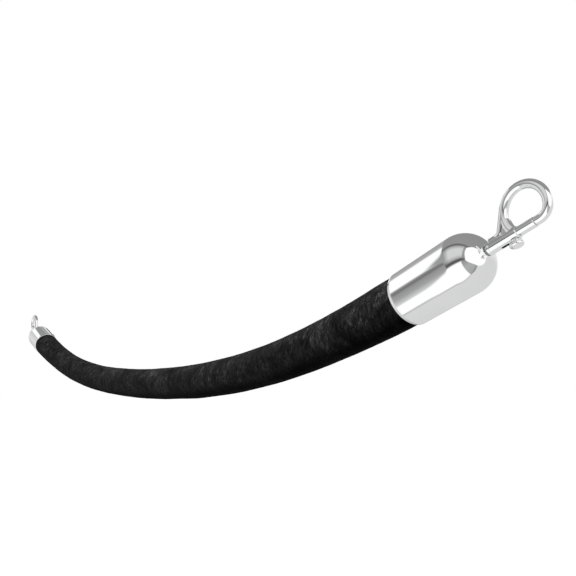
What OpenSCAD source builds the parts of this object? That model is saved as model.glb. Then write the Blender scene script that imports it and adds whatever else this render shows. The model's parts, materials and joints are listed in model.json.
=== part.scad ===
// Velvet barrier rope: a padded velvet rope that hangs in a shallow arc between
// two round end caps, each with a swivelling bolt-snap hook.
//
// Millimetres, +Z up.  The origin is the centre of hook A's eye, where a post's
// ring holds it, and the rope runs from there towards -X, to hook B.
//
// Each end is drawn in its own frame: +X runs out of the cap along its axis, from
// x = 0 at the cap's mouth, and +Z is the side that the hook's loop stands on.

/* [Rope] */
// Outside diameter of the velvet sleeve
rope_d = 38; // [37:0.5:38.5]
// Thickness of the velvet sleeve
sleeve_wall = 1.2; // [0.8:0.1:1.2]
// Diameter of the load cord in the middle of the padding
cord_d = 10; // [8:0.5:11]

/* [End caps] */
// Outside diameter of an end cap
cap_d = 42; // [41.5:0.5:46]
// Length of an end cap, from its mouth to the top of its dome
cap_length = 76; // [75:0.5:84]
// Wall of an end cap
cap_wall = 1.4; // [1:0.1:1.5]
// Slope of the rope and of the cap at each end, in degrees
cap_tilt = 19; // [16:0.5:21]

/* [Hooks] */
// Outside diameter of the hook's barrel
barrel_d = 8.2; // [8.2:0.1:9]
// Length of the hook's barrel
barrel_length = 23.7; // [23.4:0.1:25]
// Thickness of the round bar that the hook's loop is bent from
bar_d = 6; // [5.4:0.1:6.4]
// Radius of the loop, to the middle of the bar
loop_r = 15.7; // [15.2:0.1:16.5]
// Diameter of the sliding bolt that closes the hook
bolt_d = 6.6; // [6:0.1:6.7]
// How far the sliding bolt draws back
bolt_travel = 9; // [6:0.5:9]

/* [Hidden] */

// Half of the rope's route: distance from the middle of the rope, and height above
// the cap mouths.  The other half is its mirror image.
HALF_ROUTE = [
    [0, -67.5], [81, -66], [162, -62], [243, -54], [323, -41.5], [403, -23.5], [484, 0]
];
ROPE_SIDES = 12;
RINGS_PER_SPAN = 2;

// Clearances
slide_gap = 0.05;
face_gap = 0.3;
wrap_gap = 0.1;
// Stretches of the hook's bar run this far into each other, each a hair thinner than the last
weld = 0.25;
weld_step = 0.02;

// End cap and what is inside it, along the cap's axis from its mouth
cap_r = cap_d / 2;
cap_bore_r = cap_r - cap_wall;
dome_x = cap_length - cap_r;
seat_x = cap_length - 2 * cap_wall;
lip_r = 0.7;
rope_r = rope_d / 2;
sleeve_bore_r = rope_r - sleeve_wall;
sleeve_end_x = 44;
core_end_x = 14;
plug_start_x = core_end_x + wrap_gap;
plug_end_x = 46;
plug_r = sleeve_bore_r * cos(180 / ROPE_SIDES) - wrap_gap;
plug_bore_r = cord_d / 2 + wrap_gap;
screw_x = 24;
screw_r = 1.5;
screw_head_r = 2.8;
screw_head_h = 1.1;
screw_depth = 11;
screw_angles = [55, 125];
band_x = 34;
band_w = 7;
band_r = cap_bore_r - wrap_gap;
washer_r = 14;
washer_t = 2;
ferrule_r = 8;
ferrule_l = 10;
ferrule_x = plug_end_x + washer_t;
cord_end_x = ferrule_x + ferrule_l + 1;

// Swivel
pin_r = 2.5;
pin_bore_r = pin_r + slide_gap;
bushing_r = 3.6;
bushing_flange_r = 6.2;
bushing_flange_t = 1.2;
barrel_x = cap_length + 2 * face_gap;
pin_grip = 3.5;
swivel_washer_r = 6.4;
swivel_washer_t = 1;
swivel_washer_x = seat_x - bushing_flange_t - face_gap - swivel_washer_t;
nut_t = 5;
nut_flats = 8;
nut_x = swivel_washer_x - nut_t;
pin_start_x = nut_x - 1.5;

// Hook
barrel_r = barrel_d / 2;
bar_r = bar_d / 2;
bolt_r = bolt_d / 2;
bore_r = bolt_r + slide_gap;
collar_r = barrel_r + 0.4;
collar_l = 2;
barrel_end_x = barrel_x + barrel_length;
chamber_x = barrel_x + pin_grip + 0.8;
loop_x = barrel_end_x + 9.4;
loop_z = 10.8;
leg_angle = 151;
ring_end_angle = 207;
nose_r = 9;
tip_x = barrel_end_x + 13.2;
// The loop's large arc runs into the smaller arc of the nose where both have one tangent
nose_angle = -asin((loop_z - nose_r) / (loop_r - nose_r));
nose_x = loop_x + (loop_r - nose_r) * cos(nose_angle);
leg_top = [loop_x + loop_r * cos(leg_angle), loop_z + loop_r * sin(leg_angle)];
// The bar starts along the top of the barrel and bends up into the leg
root_z = barrel_r - 0.7;
root_r = bar_r - 2 * weld_step;
bend_r = 6;
leg_slope = leg_angle - 90;
leg_foot_z = root_z + bend_r * (1 - cos(leg_slope));
leg_length = (leg_top[1] - leg_foot_z) / sin(leg_slope);
leg_foot_x = leg_top[0] - leg_length * cos(leg_slope);
bend_x = leg_foot_x - bend_r * sin(leg_slope);
web_t = 4.4;
web_top_z = 11;
web_low_z = 2;
eye_r = loop_r - bar_r + 0.1;

// Sliding bolt, knob and spring
bolt_nose_x = tip_x - 0.2;
bolt_tail_x = chamber_x + bolt_travel + 2.6;
knob_x = bolt_tail_x + 3.6;
knob_neck_r = 1.3;
knob_flange_r = 4.2;
knob_head_r = 4.6;
slot_r = knob_neck_r + 0.15;
spring_wire_r = 0.2;
spring_r = bore_r - 0.5;
SPRING_TURNS = 6;
SPRING_STEPS = 14;
SPRING_SIDES = 6;

// Where the ends are
rim_x = -(loop_x * cos(cap_tilt) - loop_z * sin(cap_tilt));
rim_z = -(loop_x * sin(cap_tilt) + loop_z * cos(cap_tilt));
half_span = HALF_ROUTE[len(HALF_ROUTE) - 1][0];
mid_x = rim_x - half_span;

// ---- Frames ----

// An end's own frame: side 1 is end A, side -1 is end B
module at_end(side) {
    translate([mid_x, 0, 0])
        rotate([0, 0, side > 0 ? 0 : 180])
            translate([half_span, 0, rim_z])
                rotate([0, -cap_tilt, 0])
                    children();
}

// Turns a shape drawn along +Z so that it runs along the end's axis
module along_axis(x) {
    translate([x, 0, 0]) rotate([0, 90, 0]) children();
}

module rod(x, r, l) {
    along_axis(x) cylinder(h = l, r = r, $fn = 48);
}

module ring(x, r_out, r_in, l) {
    difference() {
        rod(x, r_out, l);
        rod(x - 1, r_in, l + 2);
    }
}

// ---- The rope's route ----

// A point at distance x along the cap's axis, in the route's own plane
function axis_point(x) = [half_span + x * cos(cap_tilt), rim_z + x * sin(cap_tilt)];

// A Catmull-Rom curve through four points, u from 0 to 1 between the middle two
function curve_point(a, b, c, d, u) =
    0.5 * (2 * b + (c - a) * u + (2 * a - 5 * b + 4 * c - d) * u * u
        + (3 * b - a - 3 * c + d) * u * u * u);

function half_knot(i) =
    i < 0 ? [-HALF_ROUTE[-i][0], HALF_ROUTE[-i][1] + rim_z]
    : i < len(HALF_ROUTE) ? [HALF_ROUTE[i][0], HALF_ROUTE[i][1] + rim_z]
    : axis_point(86);

half_curve = [
    for (i = [0 : len(HALF_ROUTE) - 2], k = [0 : RINGS_PER_SPAN - 1])
        curve_point(half_knot(i - 1), half_knot(i), half_knot(i + 1), half_knot(i + 2), k / RINGS_PER_SPAN)
];

// The whole route, from inside cap B to inside cap A, ending end_x inside each mouth
function half_path(end_x) = concat(half_curve, [axis_point(0), axis_point(end_x)]);
function full_path(end_x) =
    let (half = half_path(end_x), n = len(half))
    concat(
        [for (i = [n - 1 : -1 : 1]) [mid_x - half[i][0], half[i][1]]],
        [for (p = half) [mid_x + p[0], p[1]]]
    );

// The direction across the route at point i, in the route's plane
function path_normal(path, i) =
    let (
        a = path[max(i - 1, 0)],
        b = path[min(i + 1, len(path) - 1)],
        on_axis = i < 2 || i > len(path) - 3,
        side = i < 2 ? 1 : -1,
        d = on_axis ? [cos(cap_tilt), -side * sin(cap_tilt)] : (b - a) / norm(b - a)
    )
    [-d[1], d[0]];

function ring_points(path, i, r, sides) =
    let (n = path_normal(path, i))
    [for (k = [0 : sides - 1])
        let (angle = 360 * (k + 0.5) / sides)
        [path[i][0] + n[0] * r * cos(angle), r * sin(angle), path[i][1] + n[1] * r * cos(angle)]];

// Quads between ring i and ring i + 1 of a tube whose points start at base
function wall_faces(base, rings, sides) = [
    for (i = [0 : rings - 2], k = [0 : sides - 1])
        let (next = (k + 1) % sides)
        [base + i * sides + k, base + (i + 1) * sides + k, base + (i + 1) * sides + next, base + i * sides + next]
];
function flipped(faces) = [for (f = faces) [for (j = [len(f) - 1 : -1 : 0]) f[j]]];

// A solid rope along the route
module swept_rod(path, r, sides) {
    rings = len(path);
    points = [for (i = [0 : rings - 1]) each ring_points(path, i, r, sides)];
    polyhedron(points, concat(
        wall_faces(0, rings, sides),
        [[for (k = [0 : sides - 1]) k]],
        [[for (k = [sides - 1 : -1 : 0]) (rings - 1) * sides + k]]
    ), convexity = 6);
}

// A tube along the route, with a bore from end to end
module swept_tube(path, r_out, r_in, sides) {
    rings = len(path);
    inner = rings * sides;
    last = (rings - 1) * sides;
    points = concat(
        [for (i = [0 : rings - 1]) each ring_points(path, i, r_out, sides)],
        [for (i = [0 : rings - 1]) each ring_points(path, i, r_in, sides)]
    );
    polyhedron(points, concat(
        wall_faces(0, rings, sides),
        flipped(wall_faces(inner, rings, sides)),
        [for (k = [0 : sides - 1]) let (n = (k + 1) % sides) [k, n, inner + n, inner + k]],
        [for (k = [0 : sides - 1]) let (n = (k + 1) % sides)
            [last + n, last + k, inner + last + k, inner + last + n]]
    ), convexity = 6);
}

// ---- The rope ----

module velvet_sleeve() {
    color([0.08, 0.08, 0.09])
        swept_tube(full_path(sleeve_end_x), rope_r, sleeve_bore_r, ROPE_SIDES);
}

module padding_core() {
    color([0.85, 0.83, 0.75])
        swept_tube(full_path(core_end_x), sleeve_bore_r - wrap_gap, cord_d / 2 + wrap_gap, ROPE_SIDES);
}

module load_cord() {
    color([0.75, 0.72, 0.62])
        swept_rod(full_path(cord_end_x), cord_d / 2, ROPE_SIDES);
}

// ---- One end of the rope ----

// A bullet-shaped shell with a rolled lip at its mouth and a flat seat inside its dome
module end_cap(side) {
    color([0.88, 0.89, 0.9]) at_end(side) difference() {
        union() {
            rod(lip_r, cap_r, dome_x - lip_r);
            translate([dome_x, 0, 0]) sphere(r = cap_r, $fn = 96);
            along_axis(lip_r) rotate_extrude($fn = 96) translate([cap_r - lip_r, 0]) circle(r = lip_r, $fn = 24);
        }
        rod(-cap_wall, cap_bore_r, dome_x + cap_wall);
        intersection() {
            translate([dome_x, 0, 0]) sphere(r = cap_bore_r, $fn = 96);
            rod(dome_x - 1, cap_bore_r, seat_x - dome_x + 1);
        }
        rod(seat_x - 1, bushing_r, cap_length - seat_x + 2);
        at_screws(side) cylinder(h = cap_r + 2, r = screw_r + wrap_gap, $fn = 24);
    }
}

// The two screws sit on the back of the cap, at the same side of both ends
module at_screws(side) {
    for (angle = screw_angles)
        translate([screw_x, 0, 0]) rotate([-side * angle, 0, 0]) children();
}

module cap_screws(side) {
    color([0.7, 0.71, 0.73]) at_end(side) at_screws(side) difference() {
        union() {
            translate([0, 0, cap_r - screw_depth]) cylinder(h = screw_depth, r = screw_r, $fn = 24);
            translate([0, 0, cap_r]) cylinder(h = screw_head_h, r = screw_head_r, $fn = 32);
        }
        translate([-4, -0.35, cap_r + 0.4]) cube([8, 0.7, 1]);
    }
}

module end_plug(side) {
    color([0.8, 0.64, 0.42]) at_end(side) difference() {
        rod(plug_start_x, plug_r, plug_end_x - plug_start_x);
        rod(plug_start_x - 1, plug_bore_r, plug_end_x - plug_start_x + 2);
        at_screws(side) translate([0, 0, cap_r - screw_depth]) cylinder(h = screw_depth, r = screw_r, $fn = 24);
    }
}

module crimp_band(side) {
    color([0.6, 0.6, 0.62]) at_end(side) ring(band_x, band_r, rope_r + wrap_gap / 2, band_w);
}

module cord_washer(side) {
    color([0.65, 0.66, 0.68]) at_end(side) ring(plug_end_x, washer_r, plug_bore_r, washer_t);
}

module cord_ferrule(side) {
    color([0.72, 0.73, 0.75]) at_end(side) ring(ferrule_x, ferrule_r, plug_bore_r, ferrule_l);
}

// ---- The swivel ----

module swivel_bushing(side) {
    color([0.6, 0.61, 0.63]) at_end(side) difference() {
        union() {
            rod(seat_x - bushing_flange_t, bushing_flange_r, bushing_flange_t);
            rod(seat_x - 0.1, bushing_r, cap_length - seat_x + 0.3);
        }
        rod(seat_x - 3, pin_bore_r, cap_length - seat_x + 5);
    }
}

module swivel_pin(side) {
    color([0.68, 0.69, 0.7]) at_end(side) rod(pin_start_x, pin_r, barrel_x + pin_grip - pin_start_x);
}

module swivel_washer(side) {
    color([0.7, 0.71, 0.73]) at_end(side) ring(swivel_washer_x, swivel_washer_r, pin_r, swivel_washer_t);
}

module lock_nut(side) {
    color([0.62, 0.63, 0.66]) at_end(side) difference() {
        along_axis(nut_x) cylinder(h = nut_t, r = nut_flats / 2 / cos(30), $fn = 6);
        rod(nut_x - 1, pin_r, nut_t + 2);
    }
}

// ---- The hook ----

// A bent stretch of the round bar: an arc about (x, z), from one angle to another
module bar_arc(x, z, arc_r, from, to, r) {
    translate([x, 0, z])
        rotate([90, 0, 0])
            rotate([0, 0, from])
                rotate_extrude(angle = to - from, $fn = 120) translate([arc_r, 0]) circle(r = r, $fn = 40);
}

// The angle that the weld's length takes up on an arc
function weld_angle(arc_r) = weld * 180 / (PI * arc_r);

// The loop: a root along the barrel, a bend, a straight leg, a large arc that runs on
// past the leg into the barrel, the smaller arc of the nose and a straight tip
module loop() {
    translate([0, 0, root_z]) rod(barrel_x + 1, root_r - weld_step, bend_x + weld - barrel_x - 1);
    bar_arc(bend_x, root_z + bend_r, bend_r, -90, leg_slope - 90 + weld_angle(bend_r), root_r);
    translate([leg_top[0], 0, leg_top[1]])
        rotate([0, -leg_angle, 0])
            translate([0, 0, -weld])
                cylinder(h = leg_length + weld, r = bar_r - weld_step, $fn = 48);
    bar_arc(loop_x, loop_z, loop_r, nose_angle, ring_end_angle, bar_r);
    bar_arc(nose_x, nose_r, nose_r, -90, nose_angle + weld_angle(nose_r), bar_r - weld_step);
    rod(tip_x, bar_r - 2 * weld_step, nose_x + weld - tip_x);
}

// The forged web between the leg and the barrel, cut out by the round eye
module web() {
    translate([0, web_t / 2, 0]) rotate([90, 0, 0]) linear_extrude(web_t) difference() {
        polygon([
            [bend_x, web_low_z],
            [leg_foot_x + (web_top_z - leg_foot_z) / tan(leg_slope), web_top_z],
            [barrel_end_x - 0.8, web_top_z],
            [barrel_end_x - 0.8, web_low_z]
        ]);
        translate([loop_x, loop_z]) circle(r = eye_r, $fn = 96);
    }
}

module hook(side) {
    color([0.86, 0.87, 0.88]) at_end(side) difference() {
        union() {
            rod(barrel_x, barrel_r, barrel_length);
            rod(barrel_x, collar_r, collar_l);
            web();
            loop();
        }
        rod(barrel_x - 1, pin_r, pin_grip + 1);
        rod(chamber_x, bore_r, barrel_end_x - chamber_x + 0.01);
        slot();
    }
}

// The slot under the barrel that the thumb knob's neck runs in
module slot() {
    for (x = [knob_x - bolt_travel, knob_x])
        translate([x, 0, -barrel_r - 1]) cylinder(h = barrel_r, r = slot_r, $fn = 32);
    translate([knob_x - bolt_travel, -slot_r, -barrel_r - 1]) cube([bolt_travel, 2 * slot_r, barrel_r]);
}

module sliding_bolt(side) {
    color([0.82, 0.83, 0.85]) at_end(side) difference() {
        union() {
            rod(bolt_tail_x, bolt_r, bolt_nose_x - 0.4 - bolt_tail_x);
            along_axis(bolt_nose_x - 0.4) cylinder(h = 0.4, r1 = bolt_r, r2 = bolt_r - 0.4, $fn = 48);
        }
        translate([knob_x, 0, -bolt_r - 1]) cylinder(h = bolt_r + 0.4, r = knob_neck_r, $fn = 32);
    }
}

// A spool-shaped knob: a thin flange over the slot, a waist and a domed head
module thumb_knob(side) {
    color([0.84, 0.85, 0.87]) at_end(side)
        translate([knob_x, 0, -0.6])
            rotate([180, 0, 0])
                rotate_extrude($fn = 64) polygon(concat(
                    [[0, 0], [knob_neck_r, 0], [knob_neck_r, barrel_r - 0.4]],
                    [[knob_flange_r, barrel_r - 0.4], [knob_flange_r, barrel_r + 0.3], [2.3, barrel_r + 0.3]],
                    [[2.3, barrel_r + 1.3], [knob_head_r - 0.4, barrel_r + 1.3], [knob_head_r, barrel_r + 1.7]],
                    [for (angle = [0 : 15 : 90])
                        [knob_head_r * cos(angle), barrel_r + 2.2 + 2.2 * sin(angle)]]
                ));
}

// A helix of round wire between the barrel's floor and the bolt's tail
module bolt_spring(side) {
    l = bolt_tail_x - chamber_x - 2 * spring_wire_r - 2 * slide_gap;
    steps = SPRING_TURNS * SPRING_STEPS;
    points = [
        for (i = [0 : steps], k = [0 : SPRING_SIDES - 1])
            let (
                turn = 360 * i / SPRING_STEPS,
                round = 360 * k / SPRING_SIDES,
                r = spring_r + spring_wire_r * cos(round)
            )
            [l * i / steps + spring_wire_r * sin(round), r * cos(turn), r * sin(turn)]
    ];
    color([0.6, 0.61, 0.62]) at_end(side)
        translate([chamber_x + spring_wire_r + slide_gap, 0, 0])
            polyhedron(points, concat(
                wall_faces(0, steps + 1, SPRING_SIDES),
                [[for (k = [0 : SPRING_SIDES - 1]) k]],
                [[for (k = [SPRING_SIDES - 1 : -1 : 0]) steps * SPRING_SIDES + k]]
            ), convexity = 10);
}

// ---- What is drawn ----

velvet_sleeve();
padding_core();
load_cord();

end_cap(1);  // end_cap_a
cap_screws(1);  // cap_screws_a
end_plug(1);  // end_plug_a
crimp_band(1);  // crimp_band_a
cord_washer(1);  // cord_washer_a
cord_ferrule(1);  // cord_ferrule_a
swivel_bushing(1);  // swivel_bushing_a
swivel_pin(1);  // swivel_pin_a
swivel_washer(1);  // swivel_washer_a
lock_nut(1);  // lock_nut_a
hook(1);  // hook_a
sliding_bolt(1);  // sliding_bolt_a
thumb_knob(1);  // thumb_knob_a
bolt_spring(1);  // bolt_spring_a

end_cap(-1);  // end_cap_b
cap_screws(-1);  // cap_screws_b
end_plug(-1);  // end_plug_b
crimp_band(-1);  // crimp_band_b
cord_washer(-1);  // cord_washer_b
cord_ferrule(-1);  // cord_ferrule_b
swivel_bushing(-1);  // swivel_bushing_b
swivel_pin(-1);  // swivel_pin_b
swivel_washer(-1);  // swivel_washer_b
lock_nut(-1);  // lock_nut_b
hook(-1);  // hook_b
sliding_bolt(-1);  // sliding_bolt_b
thumb_knob(-1);  // thumb_knob_b
bolt_spring(-1);  // bolt_spring_b
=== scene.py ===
"""Looks of the velvet barrier rope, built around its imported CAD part.

Lengths are in metres in the row's frame, and in millimetres where a part is drawn.  The
rope hangs in the XZ plane: end A, the origin's end, is at +X and end B at -X.  Each end
is built in its own frame, X running out of the cap along its axis from 0 at the mouth,
and Z towards the side that the hook's loop stands on.
"""
import json
import math

import bmesh
import bpy
from mathutils import Matrix, Vector, noise


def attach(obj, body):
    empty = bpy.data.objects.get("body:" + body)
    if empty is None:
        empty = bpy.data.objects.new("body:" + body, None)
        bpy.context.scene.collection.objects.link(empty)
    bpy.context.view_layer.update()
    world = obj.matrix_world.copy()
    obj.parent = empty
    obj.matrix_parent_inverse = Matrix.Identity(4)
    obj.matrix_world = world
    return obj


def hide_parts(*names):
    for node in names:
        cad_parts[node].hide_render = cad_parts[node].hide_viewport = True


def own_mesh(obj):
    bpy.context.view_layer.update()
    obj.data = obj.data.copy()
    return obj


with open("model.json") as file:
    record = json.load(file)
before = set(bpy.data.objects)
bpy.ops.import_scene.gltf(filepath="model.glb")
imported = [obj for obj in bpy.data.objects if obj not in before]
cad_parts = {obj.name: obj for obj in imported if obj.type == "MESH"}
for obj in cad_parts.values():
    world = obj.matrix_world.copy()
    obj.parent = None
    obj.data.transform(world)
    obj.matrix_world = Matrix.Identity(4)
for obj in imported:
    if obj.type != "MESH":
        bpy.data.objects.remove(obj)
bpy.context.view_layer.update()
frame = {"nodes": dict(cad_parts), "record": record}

MM = 0.001
TAU = 2 * math.pi
UP = Vector((0, 0, 1))

# Sizes as in part.scad, in millimetres
ROPE_R = 19.0
CAP_R = 21.0
CAP_WALL = 1.4
CAP_LENGTH = 76.0
DOME_X = CAP_LENGTH - CAP_R
SEAT_X = CAP_LENGTH - 2 * CAP_WALL
LIP_R = 0.7
BUSHING_R = 3.6
BARREL_X = CAP_LENGTH + 0.6
BARREL_R = 4.1
BARREL_END_X = BARREL_X + 23.7
COLLAR_R = BARREL_R + 0.4
COLLAR_L = 2.0
BAR_R = 3.0
LOOP_R = 15.7
LOOP_X = BARREL_END_X + 9.4
LOOP_Z = 10.8
LEG_ANGLE = math.radians(151)
WEB_TOP_Z = 11.0
WEB_HALF = 2.4
NOSE_R = 9.0
TIP_X = BARREL_END_X + 13.2
BOLT_R = 3.3
# The play between parts that slide in each other
GAP = 0.05
BORE_R = BOLT_R + GAP
BOLT_TRAVEL = 9.0
CHAMBER_X = BARREL_X + 4.3
BOLT_TAIL_X = CHAMBER_X + BOLT_TRAVEL + 2.6
BOLT_NOSE_X = TIP_X - 0.2
KNOB_X = BOLT_TAIL_X + 3.6
KNOB_NECK_R = 1.3
WIRE_R = 0.2
SPRING_R = BORE_R - 0.5
SPRING_TURNS = 6
PADDING_R = 17.7
# How far past the mouth the padding and the load cord reach into each cap
CORE_END_X = 14.0
CORD_END_X = 59.0
# The same for the velvet, which is drawn shorter here than its 44 mm, out of sight
SLEEVE_END_X = 20.0

# Where the hook's ring ends, in degrees round it: out of sight inside the barrel
RING_END = 220
# Faces that meet at more than this many degrees keep a sharp edge between them
SHARP = 38
SHARP_CAST = 42

# Half of the rope's route, as in part.scad: distance from the rope's middle, and height
# above the cap mouths.  The other half is its mirror image.
HALF_ROUTE = [
    (0, -67.5), (81, -66), (162, -62), (243, -54), (323, -41.5), (403, -23.5), (484, 0)
]


# ---- The ends' frames ----

def end_frame(side):
    """The matrix that carries an end's own frame into the row's frame."""
    joints = frame["record"]["behaviour"]["joints"]
    joint = next(j for j in joints if j["name"] == "swivel_" + side)
    out = Vector(joint["axis"]).normalized()
    across = UP.cross(out).normalized()
    up = out.cross(across)
    mouth = Vector(joint["pos_m"]) - out * CAP_LENGTH * MM
    turn = Matrix((out, across, up)).transposed().to_4x4()
    return Matrix.Translation(mouth) @ turn


ENDS = {side: end_frame(side) for side in "ab"}
MOUTHS = {side: ENDS[side].translation.copy() for side in "ab"}
MIDDLE_X = (MOUTHS["a"].x + MOUTHS["b"].x) / 2
MOUTH_Z = MOUTHS["a"].z


def catmull_rom(a, b, c, d, u):
    return 0.5 * (2 * b + (c - a) * u + (2 * a - 5 * b + 4 * c - d) * u * u
                  + (3 * b - a - 3 * c + d) * u * u * u)


def rope_route(steps, end_x):
    """Points along the rope from end_x inside cap B to end_x inside cap A."""
    half = [Vector((x * MM, 0, z * MM)) for x, z in HALF_ROUTE]
    knots = [Vector((-p.x, 0, p.z)) for p in half[:0:-1]] + half
    slope = (ENDS["a"] @ Vector((1, 0, 0))) - MOUTHS["a"]
    # The end knots' neighbours lie on the caps' axes, so that the rope leaves along them
    beyond = knots[-1] + slope * 0.080
    knots = [Vector((-beyond.x, 0, beyond.z))] + knots + [beyond]
    base = Vector((MIDDLE_X, 0, MOUTH_Z))
    points = [
        base + catmull_rom(*knots[i:i + 4], k / steps)
        for i in range(len(knots) - 3) for k in range(steps)
    ]
    points.append(MOUTHS["a"].copy())
    spacing = (points[1] - points[0]).length
    tucks = max(1, round(end_x * MM / spacing))
    inside = [ENDS[side] @ Vector((end_x * MM * k / tucks, 0, 0))
              for side in "ba" for k in range(1, tucks + 1)]
    return inside[:tucks][::-1] + points + inside[tucks:]


# ---- Mesh helpers ----

def new_piece(name, bm, matrix=None, sharp=SHARP):
    """A smooth-shaded object from a bmesh, with its sharp edges kept sharp."""
    if matrix is not None:
        bm.transform(matrix)
    bmesh.ops.recalc_face_normals(bm, faces=bm.faces)
    mesh = bpy.data.meshes.new(name)
    bm.to_mesh(mesh)
    bm.free()
    piece = bpy.data.objects.new(name, mesh)
    bpy.context.scene.collection.objects.link(piece)
    mesh.shade_smooth()
    mesh.set_sharp_from_angle(angle=math.radians(sharp))
    return piece


def arc(x, y, radius, start, stop, count):
    """Points on an arc, angles in degrees."""
    angles = [math.radians(start + (stop - start) * k / count) for k in range(count + 1)]
    return [(x + radius * math.cos(t), y + radius * math.sin(t)) for t in angles]


def lathe(profile, segments=96, closed=False):
    """Turns a profile of (x, radius) pairs in millimetres about the X axis."""
    bm = bmesh.new()
    rings = []
    for x, radius in profile:
        if radius < 1e-6:
            rings.append([bm.verts.new((x * MM, 0, 0))])
            continue
        rings.append([
            bm.verts.new((x * MM, radius * MM * math.sin(TAU * k / segments),
                          radius * MM * math.cos(TAU * k / segments)))
            for k in range(segments)
        ])
    pairs = list(zip(rings, rings[1:])) + ([(rings[-1], rings[0])] if closed else [])
    for first, second in pairs:
        for k in range(segments):
            n = (k + 1) % segments
            corners = [first[k % len(first)], first[n % len(first)],
                       second[n % len(second)], second[k % len(second)]]
            bm.faces.new(list(dict.fromkeys(corners)))
    return bm


def sweep(points, radius, sides=32, bm=None, shape=None):
    """A capped tube along points near the XZ plane.  shape(i, angle) may set its radius."""
    bm = bm or bmesh.new()
    rings = []
    for i, point in enumerate(points):
        ahead = points[min(i + 1, len(points) - 1)] - points[max(i - 1, 0)]
        ahead.normalize()
        normal = Vector((-ahead.z, 0, ahead.x))
        ring = []
        for k in range(sides):
            angle = TAU * k / sides
            r = radius if shape is None else shape(i, angle)
            outwards = normal * math.cos(angle) + Vector((0, math.sin(angle), 0))
            ring.append(bm.verts.new(point + outwards * r))
        rings.append(ring)
    return skin(bm, rings)


def skin(bm, rings):
    """Faces over a row of rings of equal size, closed at both ends."""
    for first, second in zip(rings, rings[1:]):
        for k in range(len(first)):
            n = (k + 1) % len(first)
            bm.faces.new((first[k], first[n], second[n], second[k]))
    bm.faces.new(rings[0][::-1])
    bm.faces.new(rings[-1])
    return bm


def apply_modifier(piece, kind, **settings):
    modifier = piece.modifiers.new(kind.title(), kind)
    for key, value in settings.items():
        setattr(modifier, key, value)
    graph = bpy.context.evaluated_depsgraph_get()
    mesh = bpy.data.meshes.new_from_object(piece.evaluated_get(graph))
    piece.modifiers.clear()
    old, piece.data = piece.data, mesh
    bpy.data.meshes.remove(old)


def combine(piece, tool, operation):
    """Joins the tool to the piece or cuts it out, and uses it up."""
    apply_modifier(piece, "BOOLEAN", operation=operation, solver="EXACT", object=tool)
    bpy.data.objects.remove(tool)


def lathe_cutter(name, start, stop, radius, segments):
    profile = [(start, 0), (start, radius), (stop, radius), (stop, 0)]
    return new_piece(name, lathe(profile, segments))


# ---- Materials ----

class Nodes:
    """A short way to write a material's nodes."""

    def __init__(self, tree):
        self.tree = tree

    def add(self, kind, inputs=None, **settings):
        node = self.tree.nodes.new(kind)
        for key, value in settings.items():
            setattr(node, key, value)
        for key, value in (inputs or {}).items():
            if isinstance(value, bpy.types.NodeSocket):
                self.tree.links.new(value, node.inputs[key])
            else:
                node.inputs[key].default_value = value
        return node

    def math(self, operation, a, b=0.0, clamp=False):
        node = self.add("ShaderNodeMath", {0: a, 1: b}, operation=operation, use_clamp=clamp)
        return node.outputs[0]

    def blend(self, first, second, share):
        """The two values added, with the second's share of the sum."""
        return self.math("ADD", self.math("MULTIPLY", first, 1 - share),
                         self.math("MULTIPLY", second, share))

    def noise(self, scale, detail=3.0, rough=0.55, distortion=0.0, stretch=(1, 1, 1)):
        """Noise in the piece's own metres, finer along an axis that is stretched more."""
        coords = self.add("ShaderNodeTexCoord").outputs["Object"]
        vector = self.add("ShaderNodeMapping", {"Vector": coords, "Scale": stretch}).outputs[0]
        return self.add("ShaderNodeTexNoise", {
            "Vector": vector, "Scale": scale, "Detail": detail, "Roughness": rough,
            "Distortion": distortion}).outputs["Fac"]

    def ramp(self, fac, stops):
        node = self.add("ShaderNodeValToRGB", {"Fac": fac})
        ramp = node.color_ramp
        while len(ramp.elements) < len(stops):
            ramp.elements.new(0.5)
        for element, (place, colour) in zip(ramp.elements, stops):
            element.position = place
            element.color = (*(colour if isinstance(colour, tuple) else (colour,) * 3), 1)
        return node.outputs["Color"]

    def mix(self, amount, first, second):
        node = self.tree.nodes.new("ShaderNodeMix")
        node.data_type = "RGBA"
        for socket, value in zip((0, 6, 7), (amount, first, second)):
            self.tree.links.new(value, node.inputs[socket])
        return node.outputs[2]

    def bump(self, height, strength, distance):
        return self.add("ShaderNodeBump", {
            "Height": height, "Strength": strength, "Distance": distance}).outputs["Normal"]


def new_material(name, build, **fixed):
    """A Principled material.  build returns what is linked to it; fixed is set on it."""
    material = bpy.data.materials.new(name)
    material.use_nodes = True
    nodes = Nodes(material.node_tree)
    shader = material.node_tree.nodes["Principled BSDF"]
    for key, value in fixed.items():
        shader.inputs[key.replace("_", " ")].default_value = value
    for key, value in build(nodes).items():
        material.node_tree.links.new(value, shader.inputs[key])
    material.diffuse_color = shader.inputs["Base Color"].default_value
    return material


def velvet_nodes(n):
    """Black pile: crushed patches where it leans, streaks along the nap and fine fibre."""
    patches = n.noise(30, 6, 0.68, 0.8)
    streaks = n.noise(210, 5, 0.7, 1.4, stretch=(1.5, 1, 0.55))
    fibre = n.noise(900, 2)
    nap = n.blend(patches, streaks, 0.55)
    colour = n.ramp(nap, [(0.36, 0.0015), (0.45, 0.006), (0.54, 0.016), (0.66, 0.07)])
    height = n.blend(streaks, fibre, 0.3)
    return {"Base Color": colour, "Normal": n.bump(height, 0.7, 0.0008)}


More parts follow.
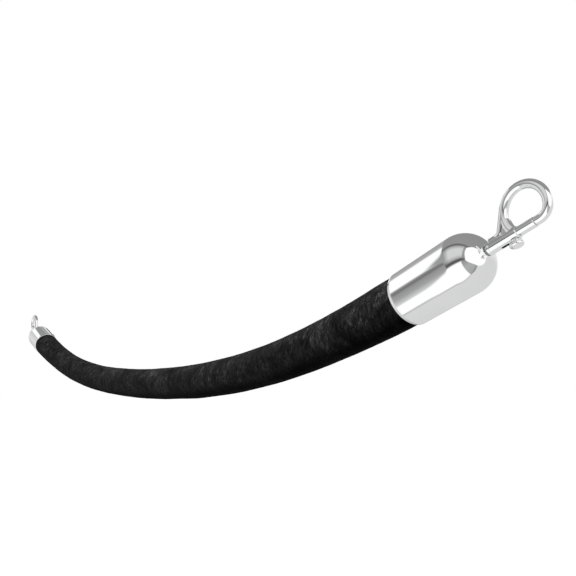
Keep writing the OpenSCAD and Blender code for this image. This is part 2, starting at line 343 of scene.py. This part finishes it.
def chrome_nodes(n):
    """Mirror plating with faint haze and hairline scratches from handling."""
    haze = n.noise(55, 4)
    hairlines = n.noise(90, 3, stretch=(1, 14, 14))
    worn = n.blend(haze, hairlines, 0.4)
    return {
        "Base Color": n.ramp(worn, [(0.3, (0.93, 0.935, 0.94)), (0.7, (0.965, 0.965, 0.967))]),
        "Roughness": n.ramp(worn, [(0.35, 0.012), (0.75, 0.06)]),
    }


def steel_nodes(n):
    grain = n.noise(300, 4, stretch=(1, 1, 6))
    return {
        "Base Color": n.ramp(grain, [(0.3, (0.42, 0.43, 0.44)), (0.7, (0.6, 0.61, 0.62))]),
        "Roughness": n.ramp(grain, [(0.3, 0.24), (0.7, 0.42)]),
        "Normal": n.bump(grain, 0.2, 0.0002),
    }


def spring_nodes(n):
    grain = n.noise(700, 3)
    return {
        "Base Color": n.ramp(grain, [(0.3, 0.28), (0.7, 0.44)]),
        "Roughness": n.ramp(grain, [(0.3, 0.25), (0.7, 0.4)]),
    }


def wood_nodes(n):
    grain = n.noise(60, 5, 0.6, 1.2, stretch=(1, 10, 10))
    return {
        "Base Color": n.ramp(grain, [(0.3, (0.4, 0.24, 0.11)), (0.7, (0.68, 0.48, 0.28))]),
        "Normal": n.bump(grain, 0.3, 0.0004),
    }


def padding_nodes(n):
    tufts = n.noise(140, 5, 0.65, 0.5)
    return {
        "Base Color": n.ramp(tufts, [(0.3, (0.58, 0.55, 0.47)), (0.7, (0.84, 0.82, 0.75))]),
        "Normal": n.bump(tufts, 0.8, 0.001),
    }


def cord_nodes(n):
    fibres = n.noise(800, 4, stretch=(0.3, 1, 1))
    return {
        "Base Color": n.ramp(fibres, [(0.3, (0.42, 0.36, 0.24)), (0.7, (0.72, 0.66, 0.5))]),
        "Normal": n.bump(fibres, 0.7, 0.0004),
    }


VELVET = new_material("velvet", velvet_nodes, Roughness=1.0, Specular_IOR_Level=0.03,
                      Sheen_Weight=0.012, Sheen_Roughness=0.5)
CHROME = new_material("chrome", chrome_nodes, Metallic=1.0)
STEEL = new_material("steel", steel_nodes, Metallic=1.0)
SPRING = new_material("spring_steel", spring_nodes, Metallic=1.0)
WOOD = new_material("plug_wood", wood_nodes, Roughness=0.62)
PADDING = new_material("padding", padding_nodes, Roughness=0.95, Specular_IOR_Level=0.2)
CORE_CORD = new_material("core_cord", cord_nodes, Roughness=0.85, Specular_IOR_Level=0.25)
BY_SLOT = {
    "velvet": VELVET, "chrome": CHROME, "steel": STEEL, "spring_steel": SPRING,
    "plug_wood": WOOD, "padding": PADDING, "core_cord": CORE_CORD,
}


def place(piece, body, slot, *nodes):
    """Gives a piece its material, its body and the CAD nodes that it stands for."""
    piece.data.materials.clear()
    piece.data.materials.append(BY_SLOT[slot])
    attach(piece, body)
    if nodes:
        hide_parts(*nodes)
    return piece


# ---- Camera ----

CAMERA_FROM_MOUTH = Vector((341.66, -344.41, -53.82)) * MM
CAMERA_YAW = math.radians(55.24)
CAMERA_PITCH = math.radians(7.35)
CAMERA_LENS = 41.25


def make_camera():
    """Looks up a little from the rope's near end, along it towards the far end."""
    level = Vector((-math.sin(CAMERA_YAW), math.cos(CAMERA_YAW), 0))
    ahead = level * math.cos(CAMERA_PITCH) + UP * math.sin(CAMERA_PITCH)
    data = bpy.data.cameras.new("camera")
    data.sensor_width = 36
    data.lens = CAMERA_LENS
    data.clip_start, data.clip_end = 0.01, 100
    camera = bpy.data.objects.new("camera", data)
    camera.location = MOUTHS["a"] + CAMERA_FROM_MOUTH
    camera.rotation_mode = "QUATERNION"
    camera.rotation_quaternion = ahead.to_track_quat("-Z", "Y")
    bpy.context.scene.collection.objects.link(camera)
    bpy.context.scene.camera = camera


make_camera()


# ---- The rope ----

SLEEVE_STEPS = 22
SLEEVE_SIDES = 112
SEAM_ANGLE = math.radians(128)
PLEATS = 15


def distance_from_mouth(point):
    """How far a point of the rope is from the nearer cap mouth, in a straight line."""
    return min((point - MOUTHS[side]).length for side in "ab")


def velvet_radius(points):
    """The sleeve's radius: uneven and leaning pile, fuller near the caps where it has small
    pleats, and a sewn seam with a soft ridge on either side."""
    gaps = [distance_from_mouth(point) for point in points]
    first, last = MOUTHS["b"].x, MOUTHS["a"].x

    def shape(i, angle):
        point, gap = points[i], gaps[i]
        inside_cap = point.x < first or point.x > last
        if inside_cap:
            return (ROPE_R - 2 * GAP) * MM
        turn = Vector((math.cos(angle), math.sin(angle)))
        here = Vector((point.x * 22, turn.x * 1.1, turn.y * 1.1))
        soft = noise.noise(here) * 0.35
        pile = noise.noise(Vector((point.x * 190, turn.x * 5, turn.y * 5))) * 0.16
        folds = math.cos(angle * PLEATS + 1.3 * math.sin(angle * 2))
        pleats = 0.12 * folds * math.exp(-gap / 0.014)
        full = 1.2 * (1 - math.exp(-gap / 0.006)) * math.exp(-(gap / 0.07) ** 2)
        off = abs((angle - SEAM_ANGLE + math.pi) % TAU - math.pi) * ROPE_R
        stitching = -0.7 * math.exp(-(off / 0.7) ** 2)
        ridges = 0.22 * math.exp(-((off - 2.2) / 1.1) ** 2)
        fade = min(1, gap / 0.02)
        uneven = (soft + pile + stitching + ridges) * fade
        return (ROPE_R + uneven + pleats + full) * MM

    return shape


def make_sleeve():
    points = rope_route(SLEEVE_STEPS, SLEEVE_END_X)
    bm = sweep(points, ROPE_R * MM, SLEEVE_SIDES, shape=velvet_radius(points))
    return place(new_piece("velvet_rope", bm), "rope", "velvet", "velvet_sleeve"), points


def make_padding():
    """The wadding: lumpy, and wound with a shallow spiral where it was rolled."""
    points = rope_route(10, CORE_END_X)
    lap_depth = 0.35

    def shape(i, angle):
        here = Vector((points[i].x * 60, math.cos(angle) * 2, math.sin(angle) * 2))
        lumps = noise.noise(here) * 0.25
        lap = -lap_depth * max(0, math.cos(angle + points[i].x * 30)) ** 40
        return (PADDING_R - lap_depth + lumps + lap) * MM

    piece = new_piece("padding_roll", sweep(points, 0, 48, shape=shape))
    return place(piece, "rope", "padding", "padding_core")


def make_load_cord():
    """Three strands laid around each other."""
    points = rope_route(40, CORD_END_X)
    strand_r, lay_r, pitch = 2.3, 2.6, 0.042
    bm = bmesh.new()
    along = [0.0]
    for first, second in zip(points, points[1:]):
        along.append(along[-1] + (second - first).length)
    for strand in range(3):
        centres = []
        for i, point in enumerate(points):
            ahead = (points[min(i + 1, len(points) - 1)] - points[max(i - 1, 0)]).normalized()
            normal = Vector((-ahead.z, 0, ahead.x))
            turn = TAU * (along[i] / pitch + strand / 3)
            outwards = normal * math.cos(turn) + Vector((0, math.sin(turn), 0))
            centres.append(point + outwards * lay_r * MM)
        sweep(centres, strand_r * MM, 14, bm)
    return place(new_piece("load_rope", bm), "rope", "core_cord", "load_cord")


velvet, velvet_path = make_sleeve()
padding = make_padding()
load_rope = make_load_cord()


# ---- The end caps ----

def cap_profile():
    """A bullet-shaped shell: rolled lip, straight wall, round dome with the pin's hole."""
    bore_r = CAP_R - CAP_WALL
    seat_edge = math.degrees(math.acos((SEAT_X - DOME_X) / bore_r))
    hole_edge = math.degrees(math.asin(BUSHING_R / CAP_R))
    inner = arc(DOME_X, 0, bore_r, seat_edge, 90, 20)
    lip = arc(LIP_R, CAP_R - LIP_R, LIP_R, 270, 90, 12)
    wall = [(LIP_R + (DOME_X - LIP_R) * k / 24, CAP_R) for k in range(1, 24)]
    dome = arc(DOME_X, 0, CAP_R, 90, hole_edge + 1.2, 60)
    edge = [(dome[-1][0] - 0.12, BUSHING_R + 0.12), (dome[-1][0] - 0.4, BUSHING_R)]
    return [(SEAT_X, BUSHING_R)] + inner + lip + wall + dome + edge


def make_cap(side):
    piece = new_piece("chrome_cap_" + side, lathe(cap_profile(), 160, closed=True), ENDS[side])
    place(piece, "rope", "chrome", "end_cap_" + side)


# ---- The hook ----

def in_plane(points):
    """Points in the plane of the hook, from (x, z) pairs in millimetres."""
    return [Vector((x * MM, 0, z * MM)) for x, z in points]


def loop_lines():
    """Where the bars run: the leg from the barrel up to the ring, the ring round to the
    tip, and the side of the web that lies along the leg."""
    nose_turn = -math.asin((LOOP_Z - NOSE_R) / (LOOP_R - NOSE_R))
    nose_x = LOOP_X + (LOOP_R - NOSE_R) * math.cos(nose_turn)
    slope = LEG_ANGLE - math.pi / 2
    bend_r, root_z = 6.0, BARREL_R - 0.7
    leg_top = (LOOP_X + LOOP_R * math.cos(LEG_ANGLE), LOOP_Z + LOOP_R * math.sin(LEG_ANGLE))
    foot_z = root_z + bend_r * (1 - math.cos(slope))
    leg = (leg_top[1] - foot_z) / math.sin(slope)
    foot_x = leg_top[0] - leg * math.cos(slope)
    bend_x = foot_x - bend_r * math.sin(slope)
    root = [(BARREL_X + 2.4 + (bend_x - BARREL_X - 2.4) * k / 6, root_z) for k in range(6)]
    bend = arc(bend_x, root_z + bend_r, bend_r, -90, math.degrees(slope) - 90, 14)
    straight = [
        (foot_x + (leg_top[0] - foot_x) * k / 16, foot_z + (leg_top[1] - foot_z) * k / 16)
        for k in range(1, 17)
    ]
    ring = arc(LOOP_X, LOOP_Z, LOOP_R, RING_END, math.degrees(nose_turn), 96)
    nose = arc(nose_x, NOSE_R, NOSE_R, math.degrees(nose_turn), -90, 30)[1:]
    tip = [(nose_x + (TIP_X - nose_x) * k / 6, 0.0) for k in range(1, 7)]
    web = [(bend_x, 2.0), (foot_x + (WEB_TOP_Z - foot_z) / math.tan(slope), WEB_TOP_Z)]
    return in_plane(root + bend + straight), in_plane(ring + nose + tip), web


def web_outline(left):
    """The forged web's outline between the leg and the barrel, hollowed by the round eye."""
    right = BARREL_END_X - 0.8
    eye_r = LOOP_R - BAR_R + 0.1
    upper = 180 - math.degrees(math.asin((left[-1][1] - LOOP_Z) / eye_r))
    lower = 180 + math.degrees(math.acos((LOOP_X - right) / eye_r))
    return left + arc(LOOP_X, LOOP_Z, eye_r, upper, lower, 20) + [(right, left[0][1])]


def extrude_outline(outline, half_thickness):
    bm = bmesh.new()
    sides = [[bm.verts.new((x * MM, y * MM, z * MM)) for x, z in outline]
             for y in (-half_thickness, half_thickness)]
    return skin(bm, sides)


def barrel_profile():
    soft = 0.35
    collar_end = BARREL_X + COLLAR_L
    return (
        [(BARREL_X, 0)]
        + arc(BARREL_X + soft, COLLAR_R - soft, soft, 180, 90, 5)
        + arc(collar_end - soft, COLLAR_R - soft, soft, 90, 0, 5)
        + [(collar_end, BARREL_R)]
        + [(collar_end + (BARREL_END_X - soft - collar_end) * k / 12, BARREL_R)
           for k in range(1, 12)]
        + arc(BARREL_END_X - soft, BARREL_R - soft, soft, 90, 0, 5)
        + [(BARREL_END_X, 0)]
    )


def slot_cutter():
    """What the knob's neck runs in: a round-ended slot through the barrel's underside."""
    half = KNOB_NECK_R + 3 * GAP
    ends = arc(KNOB_X, 0, half, -90, 90, 12) + arc(KNOB_X - BOLT_TRAVEL, 0, half, 90, 270, 12)
    bm = bmesh.new()
    rims = [[bm.verts.new((x * MM, y * MM, z * MM)) for x, y in ends] for z in (-8, -1)]
    return new_piece("slot_cutter", skin(bm, rims))


def forged_hook():
    """The whole hook as one casting: its parts run into each other with small fillets,
    and the bores and the slot are then cut sharp."""
    leg, ring, web = loop_lines()
    shell = new_piece("hook_master", lathe(barrel_profile(), 96))
    # The leg is a hair thinner than the ring, so that no two surfaces lie in each other
    combine(shell, new_piece("hook_leg", sweep(leg, BAR_R * MM * 0.995, 56)), "UNION")
    combine(shell, new_piece("hook_ring", sweep(ring, BAR_R * MM, 56)), "UNION")
    web_piece = new_piece("hook_web", extrude_outline(web_outline(web), WEB_HALF))
    combine(shell, web_piece, "UNION")
    voxel = 0.26
    apply_modifier(shell, "REMESH", mode="VOXEL", voxel_size=voxel * MM, use_smooth_shade=True)
    apply_modifier(shell, "SMOOTH", factor=0.5, iterations=7)
    cutters = (
        lathe_cutter("bore_cutter", CHAMBER_X, BARREL_END_X + 2, BORE_R, 72),
        lathe_cutter("pin_cutter", BARREL_X - 1, BARREL_X + 3.5, 2.5, 48),
        slot_cutter(),
    )
    for cutter in cutters:
        combine(shell, cutter, "DIFFERENCE")
    return shell


def bolt_profile():
    soft = 0.45
    return (
        [(BOLT_TAIL_X, 0), (BOLT_TAIL_X, BOLT_R - 0.2), (BOLT_TAIL_X + 0.2, BOLT_R)]
        + [(BOLT_TAIL_X + (BOLT_NOSE_X - BOLT_TAIL_X) * k / 12, BOLT_R) for k in range(1, 12)]
        + arc(BOLT_NOSE_X - soft, BOLT_R - soft, soft, 90, 0, 6)
        + [(BOLT_NOSE_X, 0)]
    )


def knob_profile():
    """Downwards from the barrel's middle: neck, thin flange, waist and domed head."""
    flange, head, waist, crown = 4.2, 4.6, 2.3, 2.2
    top = BARREL_R + 0.2
    return (
        [(0.6, 0), (0.6, KNOB_NECK_R), (top, KNOB_NECK_R)]
        + arc(top + 0.35, flange - 0.35, 0.35, 180, 0, 8)
        + arc(top + 1.2, waist + 0.5, 0.5, 180, 360, 10)
        + arc(top + 2.1, head - 0.4, 0.4, 180, 90, 5)
        + [(top + 2.6, head)]
        + [(top + 2.6 + crown * math.sin(math.radians(t)), head * math.cos(math.radians(t)))
           for t in range(6, 90, 6)]
        + [(top + 2.6 + crown, 0)]
    )


HOOK_MASTER = forged_hook()


def make_hook(side):
    bm = bmesh.new()
    bm.from_mesh(HOOK_MASTER.data)
    piece = new_piece("chrome_hook_" + side, bm, ENDS[side], SHARP_CAST)
    place(piece, "swivel_hook_" + side, "chrome", "hook_" + side)


def make_bolt(side):
    piece = new_piece("chrome_bolt_" + side, lathe(bolt_profile(), 72), ENDS[side])
    place(piece, "bolt_" + side, "chrome", "sliding_bolt_" + side)


def make_knob(side):
    downwards = Matrix.Translation((KNOB_X * MM, 0, 0)) @ Matrix.Rotation(math.pi / 2, 4, "Y")
    piece = new_piece("chrome_knob_" + side, lathe(knob_profile(), 72), ENDS[side] @ downwards)
    place(piece, "bolt_" + side, "chrome", "thumb_knob_" + side)


def make_spring(side):
    """The coil behind the bolt, built at the length it has with the bolt forward."""
    start = CHAMBER_X + WIRE_R + GAP
    length = BOLT_TAIL_X - WIRE_R - GAP - start
    steps, sides = SPRING_TURNS * 28, 10
    bm = bmesh.new()
    rings = []
    for i in range(steps + 1):
        turn = TAU * SPRING_TURNS * i / steps
        ring = []
        for k in range(sides):
            r = (SPRING_R + WIRE_R * math.cos(TAU * k / sides)) * MM
            x = (start + length * i / steps + WIRE_R * math.sin(TAU * k / sides)) * MM
            ring.append(bm.verts.new((x, r * math.cos(turn), r * math.sin(turn))))
        rings.append(ring)
    piece = new_piece("return_spring_" + side, skin(bm, rings), ENDS[side])
    place(piece, "swivel_hook_" + side, "spring_steel", "bolt_spring_" + side)
    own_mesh(piece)


for side in "ab":
    make_cap(side)
    make_hook(side)
    make_bolt(side)
    make_knob(side)
    make_spring(side)
bpy.data.objects.remove(HOOK_MASTER)


# ---- The CAD parts that keep their own shapes ----

def dress_cad_nodes():
    slots = {part["node"]: part["material_slot"] for part in frame["record"]["subparts"]}
    for name, node in frame["nodes"].items():
        for k in range(len(node.material_slots)):
            node.material_slots[k].material = BY_SLOT[slots[name]]


dress_cad_nodes()


# ---- Studio ----

FLOOR_Z = -0.92
FLOOR_GLOW = 0.92
WHITE = 1.06
# How much of the room's light falls on matt surfaces; the lamps do the rest
SOFT_SHARE = 0.14
# The room as the near cap mirrors it.  Places round the cap's axis run from 0 to 1: from
# beyond the cap, over the top (0.25), to the camera's side (0.5) and under it (0.75).
SIDE_TONES = [
    (0.00, 0.66), (0.06, 0.31), (0.235, 0.42), (0.27, WHITE), (0.40, WHITE), (0.42, 0.28),
    (0.445, 0.17), (0.47, 0.30), (0.52, 0.37), (0.55, 0.52), (0.575, 0.66), (0.59, WHITE),
    (0.68, WHITE), (0.697, 0.48), (0.712, 0.70), (0.99, 0.66)
]
WEDGE_TONES = [
    (0.00, 0.66), (0.07, 0.90), (0.085, 0.28), (0.29, 0.30), (0.318, 0.15), (0.34, 0.32),
    (0.45, 0.34), (0.488, 0.11), (0.508, 0.14), (0.524, WHITE), (0.69, WHITE), (0.703, 0.48),
    (0.715, 0.70), (0.99, 0.68)
]
DOME_TONES = [
    (0.00, 0.66), (0.07, 0.90), (0.085, 0.28), (0.295, 0.30), (0.318, 0.10), (0.335, 0.40),
    (0.37, 0.68), (0.44, 0.66), (0.475, 0.38), (0.488, 0.09), (0.508, 0.12), (0.524, WHITE),
    (0.69, WHITE), (0.703, 0.55), (0.715, 0.70), (0.99, 0.68)
]
ARCH_TONES = [
    (0.00, 0.66), (0.085, 0.28), (0.30, 0.30), (0.33, 0.24), (0.40, 0.36), (0.48, 0.30),
    (0.50, 0.12), (0.53, 0.32), (0.60, 0.44), (0.69, 0.40), (0.712, 0.22), (0.735, 0.72),
    (0.99, 0.70)
]
# The same for the far cap, round its own axis, in the directions that lie beyond it
FAR_TONES = [
    (0.00, 0.14), (0.014, 0.14), (0.03, WHITE), (0.18, WHITE), (0.205, 0.35), (0.235, 0.33),
    (0.262, WHITE), (0.285, 0.17), (0.35, 0.15), (0.40, 0.55), (0.60, 0.76), (0.74, 0.60),
    (0.87, 0.40), (0.95, 0.15)
]
FAR_EDGE = -0.64
# Where one set of tones gives way to the next along the near cap's axis, from -1, back
# along the rope, to 1, out of the cap: the level at each place round the axis
WEDGE_EDGE = [
    (0.00, -0.54), (0.27, -0.552), (0.32, -0.565), (0.40, -0.597), (0.44, -0.57), (0.495, -0.546),
    (0.53, -0.575), (0.585, -0.608), (0.99, -0.60)
]
DOME_EDGE = [(0.00, -0.50), (0.99, -0.50)]
ARCH_EDGE = [
    (0.00, 0.90), (0.30, 0.90), (0.33, 0.60), (0.49, 0.54), (0.53, 0.42), (0.70, 0.38),
    (0.74, 0.90), (0.99, 0.90)
]
TOP_EDGE = [
    (0.00, 0.80), (0.08, 0.74), (0.22, 0.88), (0.31, 0.76), (0.34, 0.69), (0.48, 0.68),
    (0.52, 0.66), (0.60, 0.80), (0.66, 0.85), (0.99, 0.86)
]


def studio_world():
    """A white studio whose dark and grey panels give the chrome its bands.  The camera
    sees plain white behind the rope."""
    world = bpy.data.worlds.new("studio")
    bpy.context.scene.world = world
    world.use_nodes = True
    n = Nodes(world.node_tree)
    for node in list(world.node_tree.nodes):
        world.node_tree.nodes.remove(node)
    direction = n.add("ShaderNodeTexCoord").outputs["Generated"]
    near, far = ENDS["a"].to_3x3(), ENDS["b"].to_3x3()

    def along(axis):
        node = n.add("ShaderNodeVectorMath", {0: direction, 1: tuple(axis)},
                     operation="DOT_PRODUCT")
        return node.outputs["Value"]

    def around(camera_side, up):
        angle = n.math("ARCTAN2", along(camera_side), along(up))
        return n.math("FRACT", n.math("ADD", n.math("DIVIDE", angle, TAU), 1.25))

    place_round = around(-near.col[1], near.col[2])
    forward = along(near.col[0])
    all_white = [(0.0, WHITE), (1.0, WHITE)]
    layers = (
        (WEDGE_EDGE, 0.014, WEDGE_TONES), (DOME_EDGE, 0.30, DOME_TONES),
        (ARCH_EDGE, 0.05, ARCH_TONES), (TOP_EDGE, 0.03, all_white),
    )
    mixed = n.ramp(place_round, SIDE_TONES)
    for edge, softness, tones in layers:
        start = n.ramp(place_round, [(place, (level + 1) / 2) for place, level in edge])
        past = n.math("SUBTRACT", n.math("DIVIDE", n.math("ADD", forward, 1.0), 2.0), start)
        amount = n.math("DIVIDE", past, softness / 2, clamp=True)
        mixed = n.mix(amount, mixed, n.ramp(place_round, tones))
    beyond = n.math("DIVIDE", n.math("SUBTRACT", FAR_EDGE, forward), 0.03, clamp=True)
    mixed = n.mix(beyond, mixed, n.ramp(around(far.col[1], far.col[2]), FAR_TONES))
    rays = n.add("ShaderNodeLightPath").outputs
    strength = n.math("SUBTRACT", 1.0, n.math("MULTIPLY", rays["Is Diffuse Ray"], 1 - SOFT_SHARE))
    backdrop = n.add("ShaderNodeBackground", {"Color": (1, 1, 1, 1), "Strength": 1.0})
    room = n.add("ShaderNodeBackground", {"Color": mixed, "Strength": strength})
    both = n.add("ShaderNodeMixShader", {
        "Fac": rays["Is Camera Ray"], 1: room.outputs[0], 2: backdrop.outputs[0]})
    n.add("ShaderNodeOutputWorld", {"Surface": both.outputs[0]})


def make_floor():
    bm = bmesh.new()
    bmesh.ops.create_grid(bm, x_segments=24, y_segments=24, size=20)
    floor = new_piece("floor", bm, Matrix.Translation((MIDDLE_X, 0, FLOOR_Z)))
    material = new_material("floor_paint", lambda n: {
        "Base Color": n.ramp(n.noise(2.0), [(0.3, 0.93), (0.7, 0.95)])}, Roughness=0.9)
    shader = material.node_tree.nodes["Principled BSDF"]
    shader.inputs["Emission Color"].default_value = (1, 1, 1, 1)
    shader.inputs["Emission Strength"].default_value = FLOOR_GLOW
    floor.data.materials.append(material)
    floor.visible_glossy = False
    floor.visible_diffuse = False


def soft_light(name, spot, target, size, power):
    data = bpy.data.lights.new(name, "AREA")
    data.size = size
    data.energy = power
    lamp = bpy.data.objects.new(name, data)
    lamp.location = spot
    lamp.rotation_mode = "QUATERNION"
    lamp.rotation_quaternion = (Vector(target) - Vector(spot)).to_track_quat("-Z", "Y")
    lamp.visible_glossy = False
    lamp.visible_camera = False
    bpy.context.scene.collection.objects.link(lamp)


studio_world()
make_floor()
soft_light("key", (MIDDLE_X + 0.6, -1.15, 0.85), (MIDDLE_X + 0.2, 0, -0.08), 0.7, 38)
soft_light("top", (MIDDLE_X + 0.4, 0.1, 1.4), (MIDDLE_X + 0.2, 0, -0.08), 1.0, 17)
bpy.context.scene.view_settings.view_transform = "Standard"
